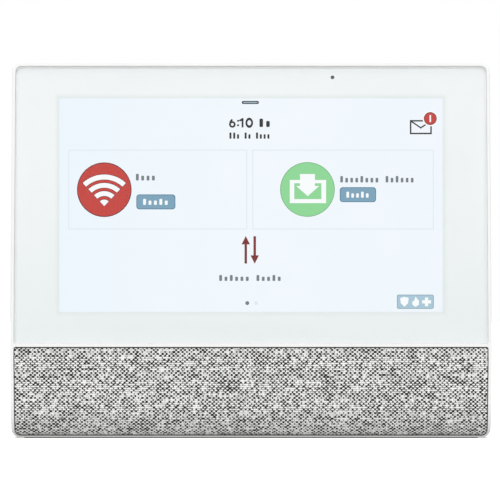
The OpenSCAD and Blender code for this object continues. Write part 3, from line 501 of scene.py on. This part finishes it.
def round_edges(build, radius, chosen):
    """Rounds the edges of a mesh that are chosen and sharper than SHARP."""
    segments = 4 if radius > 0.4 * MM else 3 if radius > 0.2 * MM else 2
    sharp = [edge for edge in build.edges if len(edge.link_faces) == 2 and edge.calc_face_angle() > SHARP]
    bmesh.ops.bevel(
        build, geom=[edge for edge in sharp if chosen(edge)], offset=radius, offset_type="OFFSET",
        segments=segments, profile=0.5, affect="EDGES", clamp_overlap=False, material=-1,
    )


def rounded_copy(node, slot, body, rounds):
    """A copy of a CAD node with its faces joined up and its edges rounded. It stands for the node."""
    mesh = frame["nodes"][node].data.copy()
    for name in ("custom_normal", "sharp_edge", "sharp_face"):
        if name in mesh.attributes:
            mesh.attributes.remove(mesh.attributes[name])
    build = bmesh.new()
    build.from_mesh(mesh)
    bmesh.ops.remove_doubles(build, verts=build.verts, dist=WELD)
    bmesh.ops.dissolve_limit(build, angle_limit=math.radians(0.6), verts=build.verts, edges=build.edges)
    for radius, chosen in rounds:
        round_edges(build, radius, chosen)
    build.to_mesh(mesh)
    build.free()
    mesh.materials.clear()
    mesh.polygons.foreach_set("use_smooth", [True] * len(mesh.polygons))
    mesh.set_sharp_from_angle(angle=SHARP)
    piece = new_piece(node + "_finished", mesh, body, slot, FINISHES[slot])
    even = piece.modifiers.new("even_shading", "WEIGHTED_NORMAL")
    even.keep_sharp = True
    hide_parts(node)
    return piece


# ------------------------------------------------------- the CAD's pieces


def middle_of(edge):
    return (edge.verts[0].co + edge.verts[1].co) / 2


def beside_strip(edge):
    """True for an edge of the shallow rebate that takes the foot strip."""
    at = middle_of(edge)
    return abs(at.x) < STRIP_HIGH.x + 0.05 * MM and at.z < STRIP_HIGH.z + 0.05 * MM


def on_outside(edge):
    """True for an edge of the bezel's outer surface, away from the glass, cloth and parting line."""
    if beside_strip(edge):
        return False
    at = middle_of(edge)
    at_side = abs(at.x) > BEZEL_HIGH.x - 1.2 * MM
    at_top = at.z > BEZEL_HIGH.z - 0.3 * MM
    at_foot = at.z < 0.3 * MM
    return at.y < BEZEL_HIGH.y - 1.0 * MM and (at_side or at_top or at_foot)


def in_sight(edge):
    """True for an edge of the bezel that shows when the display is whole."""
    if beside_strip(edge):
        return False
    at = middle_of(edge)
    behind = at.y > PANEL_LOW.y + 2.0 * MM
    within = abs(at.x) < BEZEL_HIGH.x - 1.8 * MM and 1.5 * MM < at.z < BEZEL_HIGH.z - 1.0 * MM
    return not (behind and within)


def on_glass_front(edge):
    """True for the edges round the front of the cover glass."""
    return max(vert.co.y for vert in edge.verts) < GLASS_LOW.y + 0.01 * MM


# Nodes whose edges aren't all rounded alike, as (radius, which edges)
EDGE_ROUNDS = {
    "front_bezel": [(0.45 * MM, on_outside), (0.15 * MM, in_sight)],
    "cover_glass": [(0.45 * MM, on_glass_front), (0.10 * MM, any_edge)],
    "speaker_grille": [(0.05 * MM, any_edge)],
    "foot_strip": [(0.05 * MM, any_edge)],
}


def dress_cad_nodes():
    """Gives every CAD node its finish; the ones with real edges are replaced by rounded copies."""
    made = {}
    behaviour = frame["record"]["behaviour"]
    body_of = {node: body for body, nodes in behaviour["bodies"].items() for node in nodes}
    for part in frame["record"]["subparts"]:
        node, slot = part["node"], part["material_slot"]
        if node == "grille_fabric":
            continue
        if slot in EDGE_R:
            rounds = EDGE_ROUNDS.get(node, [(EDGE_R[slot], any_edge)])
            made[node] = rounded_copy(node, slot, body_of[node], rounds)
        else:
            shown = frame["nodes"][node]
            shown.data.materials.clear()
            shown.data.materials.append(FINISHES[slot])
    return made


# ------------------------------------------------------------- the cloth


def cloth_side_view():
    """The cloth from its top edge down, as distance along it, Y and Z. It starts above the edge."""
    recess = CLOTH_LOW.y - BEZEL_LOW.y
    turn = np.linspace(0, math.pi / 2, 600)
    y = CHIN_Y - (CHIN_DEPTH - recess) * np.cos(turn)
    z = CHIN_Z - (CHIN_Z - recess) * np.sin(turn)
    overrun = 10 * MM
    y = np.concatenate([[CLOTH_LOW.y], y])
    z = np.concatenate([[CLOTH_HIGH.z + overrun], z])
    along = np.concatenate([[0], np.cumsum(np.hypot(np.diff(y), np.diff(z)))]) - overrun
    return along, y, z


def past_edge(x, z):
    """How far a point is past the outline of the speaker opening, and the way out of it."""
    half_w = CLOTH_HIGH.x
    half_h = (CLOTH_HIGH.z - CLOTH_LOW.z) / 2
    up = z - (CLOTH_HIGH.z + CLOTH_LOW.z) / 2
    corner_r = np.where(up > 0, 0.7 * MM, 2.3 * MM)
    over_x = np.abs(x) - (half_w - corner_r)
    over_z = np.abs(up) - (half_h - corner_r)
    round_x, round_z = np.maximum(over_x, 0), np.maximum(over_z, 0)
    reach = np.hypot(round_x, round_z)
    past = reach + np.minimum(np.maximum(over_x, over_z), 0) - corner_r
    in_corner = reach > 0
    out_x = np.where(in_corner, round_x / np.maximum(reach, 1e-9), over_x > over_z)
    out_z = np.where(in_corner, round_z / np.maximum(reach, 1e-9), over_x <= over_z)
    return past, out_x * np.sign(x), out_z * np.sign(up)


def surface_normals(points):
    """Unit normals of a grid of points, facing the room."""
    across = np.gradient(points, axis=1)
    down = np.gradient(points, axis=0)
    normals = np.cross(across, down)
    normals /= np.maximum(np.linalg.norm(normals, axis=2, keepdims=True), 1e-12)
    facing = np.where(normals[..., 1:2].mean() > 0, -1.0, 1.0)
    return normals * facing


def stretched_cloth():
    """The speaker cloth: a thin closed sheet with the relief of its weave, stretched over the curved grille
    and turned back round its edges."""
    along, side_y, side_z = cloth_side_view()
    hem = FOLD_R * (math.pi / 2 - 1) + HEM
    bottom = np.interp(-CLOTH_LOW.z, -side_z, along)
    # two steps of the grid to a thread
    reach = round(2 * (CLOTH_HIGH.x + hem) / THREAD_X)
    columns = np.arange(-reach, reach + 1)
    rows = np.arange(-round(2 * hem / THREAD_Z), round(2 * bottom / THREAD_Z) + 1)
    u, v = np.meshgrid(columns / 2, rows / 2)
    x = u * THREAD_X
    z = np.interp(v * THREAD_Z, along, side_z)

    # turn the edges back
    past, out_x, out_z = past_edge(x, z)
    turned = FOLD_R + past
    angle = np.clip(turned / FOLD_R, 0, math.pi / 2)
    shift = np.where(turned > 0, FOLD_R * np.sin(angle) - turned, 0)
    back = FOLD_R * (1 - np.cos(angle)) + np.maximum(turned - FOLD_R * math.pi / 2, 0)
    x = x + shift * out_x
    z = z + shift * out_z
    side = np.interp(z, [CLOTH_LOW.z, BELLY_Z], [1 - FOOT_NARROWER / CLOTH_HIGH.x, 1])
    points = np.stack([x * side, np.interp(-z, -side_z, side_y) + back, z], axis=2)
    normals = surface_normals(points)

    # relief of the weave, which fades out where the cloth turns back
    height = 0.5 + 0.5 * np.sin(math.pi * u) * np.sin(math.pi * v)
    flat_share = np.clip(turned / FOLD_R, 0, 1)
    drop = WEAVE_RELIEF * ((1 - height) * (1 - flat_share) + 0.5 * flat_share)
    face = points - normals * drop[..., None]
    thick = CLOTH_THICK + (HEM_THICK - CLOTH_THICK) * flat_share
    lining = points - normals * thick[..., None]

    high, wide = u.shape
    grid = np.arange(high * wide).reshape(high, wide)
    a, b, c, d = grid[:-1, :-1].ravel(), grid[:-1, 1:].ravel(), grid[1:, 1:].ravel(), grid[1:, :-1].ravel()
    front = np.stack([a, d, c, b], axis=1)
    rear = np.stack([a, b, c, d], axis=1) + grid.size
    rim = np.concatenate([grid[0, :-1], grid[:-1, -1], grid[-1, :0:-1], grid[:0:-1, 0]])
    following = np.roll(rim, -1)
    edge = np.stack([rim, following, following + grid.size, rim + grid.size], axis=1)
    faces = np.concatenate([front, rear, edge])
    corners = np.concatenate([face.reshape(-1, 3), lining.reshape(-1, 3)])

    mesh = bpy.data.meshes.new("grille_cloth")
    mesh.from_pydata(corners.tolist(), [], faces.tolist())
    threads = np.tile(np.stack([u.ravel(), v.ravel()], axis=1), (2, 1))
    layer = mesh.uv_layers.new(name="threads")
    index = np.zeros(len(mesh.loops), dtype=np.int64)
    mesh.loops.foreach_get("vertex_index", index)
    layer.data.foreach_set("uv", threads[index].ravel())
    mesh.polygons.foreach_set("use_smooth", [True] * len(mesh.polygons))
    piece = new_piece("grille_cloth", mesh, "case", "grille_cloth", FINISHES["grille_cloth"])
    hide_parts("grille_fabric")
    return piece


# ------------------------------------------------------ the picture's page

PAGE_STEP = 0.028 * MM          # from one layer of the page to the next
PAGE_THICK = 0.018 * MM

# The page's colours as they show through the glass, in sRGB
PAGE_COLOURS = {
    "ink": (14, 16, 20),
    "page_white": (252, 254, 255),
    "label_grey": (126, 132, 139),
    "card_line": (229, 238, 245),
    "handle_teal": (40, 66, 78),
    "handle_mist": (165, 188, 198),
    "dark_red": (128, 38, 40),
    "alert_red": (200, 76, 70),
    "alert_rim": (112, 40, 42),
    "ready_green": (147, 218, 155),
    "ready_rim": (108, 172, 118),
    "button_blue": (129, 167, 190),
    "button_rim": (84, 126, 152),
    "badge_blue": (172, 202, 218),
    "badge_rim": (128, 156, 172),
}


class Page:
    """Flat shapes of light that make up the picture, as thin closed plates between the cell and the glass.
    Places are millimetres from the picture's middle, X to the right and Z up."""

    def __init__(self):
        self.build = bmesh.new()

    def shape(self, points, colour, layer):
        """A closed plate with this outline."""
        back = PANEL_LOW.y - 0.012 * MM - layer * PAGE_STEP
        front_ring, back_ring = (
            [self.build.verts.new((x * MM, y, PICTURE_Z + z * MM)) for x, z in points]
            for y in (back - PAGE_THICK, back)
        )
        faces = [self.build.faces.new(front_ring), self.build.faces.new(back_ring[::-1])]
        for i in range(len(points)):
            side = (front_ring[i], front_ring[i - 1], back_ring[i - 1], back_ring[i])
            faces.append(self.build.faces.new(side))
        for face in faces:
            face.material_index = list(PAGE_COLOURS).index(colour)

    def disc(self, x, z, r, colour, layer, steps=40):
        turn = [2 * math.pi * i / steps for i in range(steps)]
        self.shape([(x + r * math.cos(t), z + r * math.sin(t)) for t in turn], colour, layer)

    def pill(self, x0, x1, z0, z1, r, colour, layer):
        """A rectangle with round corners."""
        points = []
        corners = ((x1 - r, z0 + r, -90), (x1 - r, z1 - r, 0), (x0 + r, z1 - r, 90), (x0 + r, z0 + r, 180))
        for x, z, start in corners:
            for step in range(7):
                t = math.radians(start + 15 * step)
                points.append((x + r * math.cos(t), z + r * math.sin(t)))
        self.shape(points, colour, layer)

    def arc(self, x, z, inner, outer, start, end, colour, layer, squash=1.0, steps=24):
        """A stretch of ring between two angles in degrees, or a wedge where inner is zero."""
        turn = [math.radians(start + (end - start) * i / steps) for i in range(steps + 1)]
        far = [(x + outer * math.cos(t), z + squash * outer * math.sin(t)) for t in turn]
        near = [(x + inner * math.cos(t), z + squash * inner * math.sin(t)) for t in reversed(turn)]
        self.shape(far + (near if inner else [(x, z)]), colour, layer)

    def ring(self, x, z, r, line, colour, layer, squash=1.0):
        for start in (0, 180):
            self.arc(x, z, r - line / 2, r + line / 2, start, start + 180, colour, layer, squash)

    def stroke(self, points, line, colour, layer):
        """A line through points, with square ends and a plate for each stretch."""
        for (x0, z0), (x1, z1) in zip(points, points[1:]):
            length = math.hypot(x1 - x0, z1 - z0)
            ax, az = (x1 - x0) / length * line / 2, (z1 - z0) / length * line / 2
            left_side = [(x0 - ax + az, z0 - az - ax), (x1 + ax + az, z1 + az - ax)]
            right_side = [(x1 + ax - az, z1 + az + ax), (x0 - ax - az, z0 - az + ax)]
            self.shape(left_side + right_side, colour, layer)

    def greeked(self, x0, x1, z0, z1, words, colour, layer):
        """A line of text with small plain blocks in place of its letters, some taller than others."""
        letters = sum(words) + len(words) - 1
        pitch = (x1 - x0) / letters
        at = 0
        for word in words:
            for i in range(word):
                tall = i == 0 or (i * 7 + word * 3) % 4 == 0
                left = x0 + (at + i) * pitch
                top = z1 if tall else z0 + 0.72 * (z1 - z0)
                self.pill(left + 0.15 * pitch, left + 0.68 * pitch, z0, top, 0.16 * pitch, colour, layer)
            at += word + 1

    def button(self, x0, x1, z0, z1):
        """A blue button with a thin darker rim and a word of five blocks."""
        self.pill(x0, x1, z0, z1, 1.2, "button_rim", 1)
        self.pill(x0 + 0.3, x1 - 0.3, z0 + 0.3, z1 - 0.3, 1.0, "button_blue", 2)
        self.greeked(x0 + 2.4, x1 - 2.4, z0 + 1.8, z1 - 1.8, [5], "page_white", 3)

    def finish(self):
        mesh = bpy.data.meshes.new("screen_page")
        bmesh.ops.recalc_face_normals(self.build, faces=self.build.faces)
        self.build.to_mesh(mesh)
        self.build.free()
        lights = [screen_light(name, colour) for name, colour in PAGE_COLOURS.items()]
        return new_piece("screen_page", mesh, "case", "screen", *lights)


def handle(page):
    """The short bar at the top that pulls the page down."""
    page.pill(-3.7, 3.2, 40.65, 41.9, 0.6, "handle_teal", 0)
    page.pill(-3.1, 2.6, 41.05, 41.5, 0.2, "handle_mist", 1)


def clock(page):
    """Ten past six and a date line, with blocks for the letters."""
    line = 0.75
    page.ring(-7.5, 32.45, 0.95, line, "ink", 1)
    page.arc(-5.9, 32.45, 2.55 - line / 2, 2.55 + line / 2, 128, 180, "ink", 1)
    page.disc(-5.2, 32.1, 0.42, "ink", 1)
    page.disc(-5.2, 33.9, 0.42, "ink", 1)
    page.stroke([(-4.3, 34.1), (-3.4, 34.6), (-3.4, 31.6)], line, "ink", 1)
    page.ring(-0.7, 33.1, 1.15, line, "ink", 1, squash=1.35)
    page.greeked(3.0, 8.4, 31.4, 34.8, [2], "ink", 1)
    page.greeked(-8.9, 7.9, 26.7, 29.2, [3, 2, 4], "ink", 1)


def envelope(page):
    """An unread message with one waiting."""
    page.stroke([(64.2, 28.8), (72.4, 28.8), (72.4, 33.9), (64.2, 33.9), (64.2, 28.8)], 0.6, "ink", 0)
    page.stroke([(64.4, 33.7), (68.3, 31.1), (72.2, 33.7)], 0.55, "ink", 0)
    x, z = 72.1, 34.8
    page.disc(x, z, 3.1, "page_white", 1)
    page.disc(x, z, 2.6, "dark_red", 2)
    page.disc(x, z, 2.3, "alert_red", 3)
    page.stroke([(x, z - 1.1), (x, z + 1.1)], 0.6, "page_white", 4)


def card_frames(page):
    """Thin frames round the two cards."""
    low, high = -9.6, 22.1
    for x0, x1 in ((-73.3, -1.7), (0.7, 73.3)):
        page.stroke([(x0, low), (x1, low), (x1, high), (x0, high), (x0, low)], 0.4, "card_line", 0)


def wireless_card(page):
    """The left card: a wireless fan in a red disc, a label and a button."""
    x, disc_z, fan_z = -59.0, 6.2, -0.4
    page.disc(x, disc_z, 11.0, "alert_rim", 1)
    page.disc(x, disc_z, 10.65, "alert_red", 2)
    line = 0.2
    start, end = 47, 133
    for inner, outer in ((0.0, 2.6), (4.1, 6.0), (7.4, 9.3), (10.7, 12.7)):
        low, high, spread = max(inner - line, 0.0), outer + line, math.degrees(line / outer)
        page.arc(x, fan_z, low, high, start - spread, end + spread, "alert_rim", 3)
        page.arc(x, fan_z, inner, outer, start, end, "page_white", 4)
    page.greeked(-46.6, -38.0, 9.9, 12.6, [4], "label_grey", 1)
    page.button(-46.1, -30.4, -1.7, 4.3)


def update_card(page):
    """The right card: an arrow into a tray in a green disc, a label and a button."""
    x, z = 22.7, 6.3
    page.disc(x, z, 11.0, "ready_rim", 1)
    page.disc(x, z, 10.75, "ready_green", 2)
    tray = [(15.6, 10.1), (15.6, 0.8), (30.2, 0.8), (30.2, 10.1)]
    stem = [(25.7, 10.1), (25.7, 12.5), (19.7, 12.5), (19.7, 10.1)]
    inside = [(17.4, 8.8), (17.4, 2.4), (28.3, 2.4), (28.3, 8.8)]
    arrow_head = [(25.7, 8.8), (25.7, 7.7), (27.4, 7.7), (22.8, 3.6), (18.2, 7.7), (19.7, 7.7), (19.7, 8.8)]
    page.shape(tray + stem, "page_white", 3)
    page.shape(inside + arrow_head, "ready_green", 4)
    page.greeked(35.6, 66.0, 9.1, 11.7, [8, 6], "label_grey", 1)
    page.button(35.7, 50.3, 1.2, 7.2)


def swap_arrows(page):
    """Two small arrows, one up and one down, over a label."""
    middle = -18.0
    for x, way in ((-2.1, 1), (1.5, -1)):
        neck, tip = middle + way * 2.2, middle + way * 5.6
        page.stroke([(x, middle - way * 5.0), (x, neck - way * 0.5)], 1.0, "dark_red", 1)
        page.shape([(x - 1.7, neck), (x + 1.7, neck), (x, tip)], "dark_red", 1)
    page.greeked(-13.1, 12.6, -30.5, -28.1, [6, 5], "label_grey", 1)


def page_dots(page):
    """Two dots for two pages, with the first one chosen."""
    for x, colour in ((-1.5, "label_grey"), (2.05, "card_line")):
        page.disc(x, -39.4, 0.8, colour, 1)


def status_badge(page):
    """A shield, a flame and a cross in a pale strip."""
    page.pill(58.7, 73.5, -41.7, -36.0, 0.7, "badge_rim", 1)
    page.pill(58.95, 73.25, -41.45, -36.25, 0.5, "badge_blue", 2)
    shield = [(60.0, -37.3), (61.7, -36.9), (63.4, -37.3), (63.2, -39.4), (61.7, -40.9), (60.2, -39.4)]
    flame_right = [(66.2, -36.8), (67.6, -38.6), (67.5, -40.1), (66.2, -40.9)]
    flame_left = [(64.9, -40.1), (64.8, -38.9), (65.6, -38.4)]
    page.shape(shield, "page_white", 3)
    page.shape(flame_right + flame_left, "page_white", 3)
    page.stroke([(70.6, -37.8), (70.6, -40.0)], 1.3, "page_white", 3)
    page.stroke([(69.45, -38.9), (71.75, -38.9)], 1.3, "page_white", 4)


def lit_page():
    """Everything on the screen's page."""
    page = Page()
    handle(page)
    clock(page)
    envelope(page)
    card_frames(page)
    wireless_card(page)
    update_card(page)
    swap_arrows(page)
    page_dots(page)
    status_badge(page)
    page.finish()


# --------------------------------------------------- light, floor, camera

ROOM_LIGHT = 0.90
SIDE_LIGHT = 0.74 * ROOM_LIGHT
BODY_MIDDLE = Vector((0, 0, 75 * MM))


def studio_world():
    """A white room: plain white to the eye, and as light a little dimmer to the sides and from below."""
    world = bpy.data.worlds.new("studio")
    world.use_nodes = True
    nodes = Nodes(world.node_tree)
    way = nodes.parts_of(nodes.add("TexCoord").outputs["Generated"])
    height = nodes.ramp(nodes.span(way["Z"], -1, 1, 0, 1), (0.0, (0.55, 0.55, 0.55)), (0.9, (1.0, 1.0, 1.0)))
    aside = nodes.math("ABSOLUTE", way["X"])
    strength = nodes.span(aside, 0.35, 0.95, ROOM_LIGHT, SIDE_LIGHT, smooth=True)
    light = nodes.add("Background", {"Color": height, "Strength": strength})
    seen = nodes.add("Background", {"Color": (1.0, 1.0, 1.0, 1.0)})
    path = nodes.add("LightPath")
    mix = nodes.add("MixShader", {0: path.outputs["Is Camera Ray"], 1: light.outputs[0], 2: seen.outputs[0]})
    nodes.feed(world.node_tree.nodes["World Output"].inputs["Surface"], mix.outputs[0])
    bpy.context.scene.world = world


def area_light(name, place, size, watts):
    """A soft square light aimed at the middle of the object."""
    data = bpy.data.lights.new(name, "AREA")
    data.size = size
    data.energy = watts
    light = bpy.data.objects.new(name, data)
    light.location = place
    aim = BODY_MIDDLE - Vector(place)
    light.rotation_euler = aim.to_track_quat("-Z", "Y").to_euler()
    bpy.context.scene.collection.objects.link(light)


def pale_floor():
    """A plain floor that gives off a little light, so that it stays near white, except under the body, where
    the glow is left out as a painted contact shadow.
    """
    s = Shader("floor", Roughness=0.9)
    s.set("Base Color", (0.86, 0.86, 0.86, 1.0))
    s.set("Specular IOR Level", 0.0)
    point = s.parts_of(s.place())
    across = s.math("SUBTRACT", s.math("ABSOLUTE", point["X"]), CAD_BOX[1][0])
    middle_y = (CHIN_Y + CAD_BOX[1][1]) / 2
    from_middle = s.math("ABSOLUTE", s.math("SUBTRACT", point["Y"], middle_y))
    along = s.math("SUBTRACT", from_middle, CAD_BOX[1][1] - middle_y)
    # painted contact shadow: the glow fades out from 1.5 mm outside the body's footprint to 3 mm inside it
    away = s.span(s.math("MAXIMUM", across, along), -3 * MM, 1.5 * MM, 0.0, 1.0, smooth=True)
    s.set("Emission Color", s.blend(away, (0.0, 0.0, 0.0), (1.0, 1.0, 1.0)))
    s.set("Emission Strength", 0.55)
    half = 4.0
    corners = [(-half, -half, 0), (half, -half, 0), (half, half, 0), (-half, half, 0)]
    mesh = bpy.data.meshes.new("floor")
    mesh.from_pydata(corners, [], [(0, 1, 2, 3)])
    mesh.materials.append(s.material)
    floor = bpy.data.objects.new("floor", mesh)
    floor.location.z = -0.05 * MM
    floor.visible_glossy = False
    floor.visible_diffuse = False
    floor.visible_shadow = False
    bpy.context.scene.collection.objects.link(floor)


VIEW_AWAY = 2500 * MM           # from the camera to the glass: far off, so the sides hardly show
VIEW_W = 201 * MM               # the width that it sees at the glass


def camera():
    """Straight in front, level with the middle of the body, as a product is pictured."""
    data = bpy.data.cameras.new("camera")
    data.sensor_width = 36
    data.lens = data.sensor_width * VIEW_AWAY / VIEW_W
    view = bpy.data.objects.new("camera", data)
    view.location = (-0.4 * MM, GLASS_LOW.y - VIEW_AWAY, 75.8 * MM)
    view.rotation_euler = (math.pi / 2, 0, 0)
    bpy.context.scene.collection.objects.link(view)
    bpy.context.scene.camera = view


# ------------------------------------------------------------- everything

camera()
made = dress_cad_nodes()
made["cover_glass"].visible_shadow = False
made["cover_glass"].visible_diffuse = False
stretched_cloth()
lit_page()
studio_world()
area_light("key", (-0.75, -1.05, 0.85), 0.9, 7.0)
area_light("fill", (0.85, -0.95, 0.45), 0.9, 3.6)
area_light("top", (0.0, 0.1, 1.3), 1.2, 5.0)
area_light("back", (0.6, 1.1, 0.7), 0.9, 2.4)
pale_floor()
bpy.context.scene.view_settings.view_transform = "Standard"
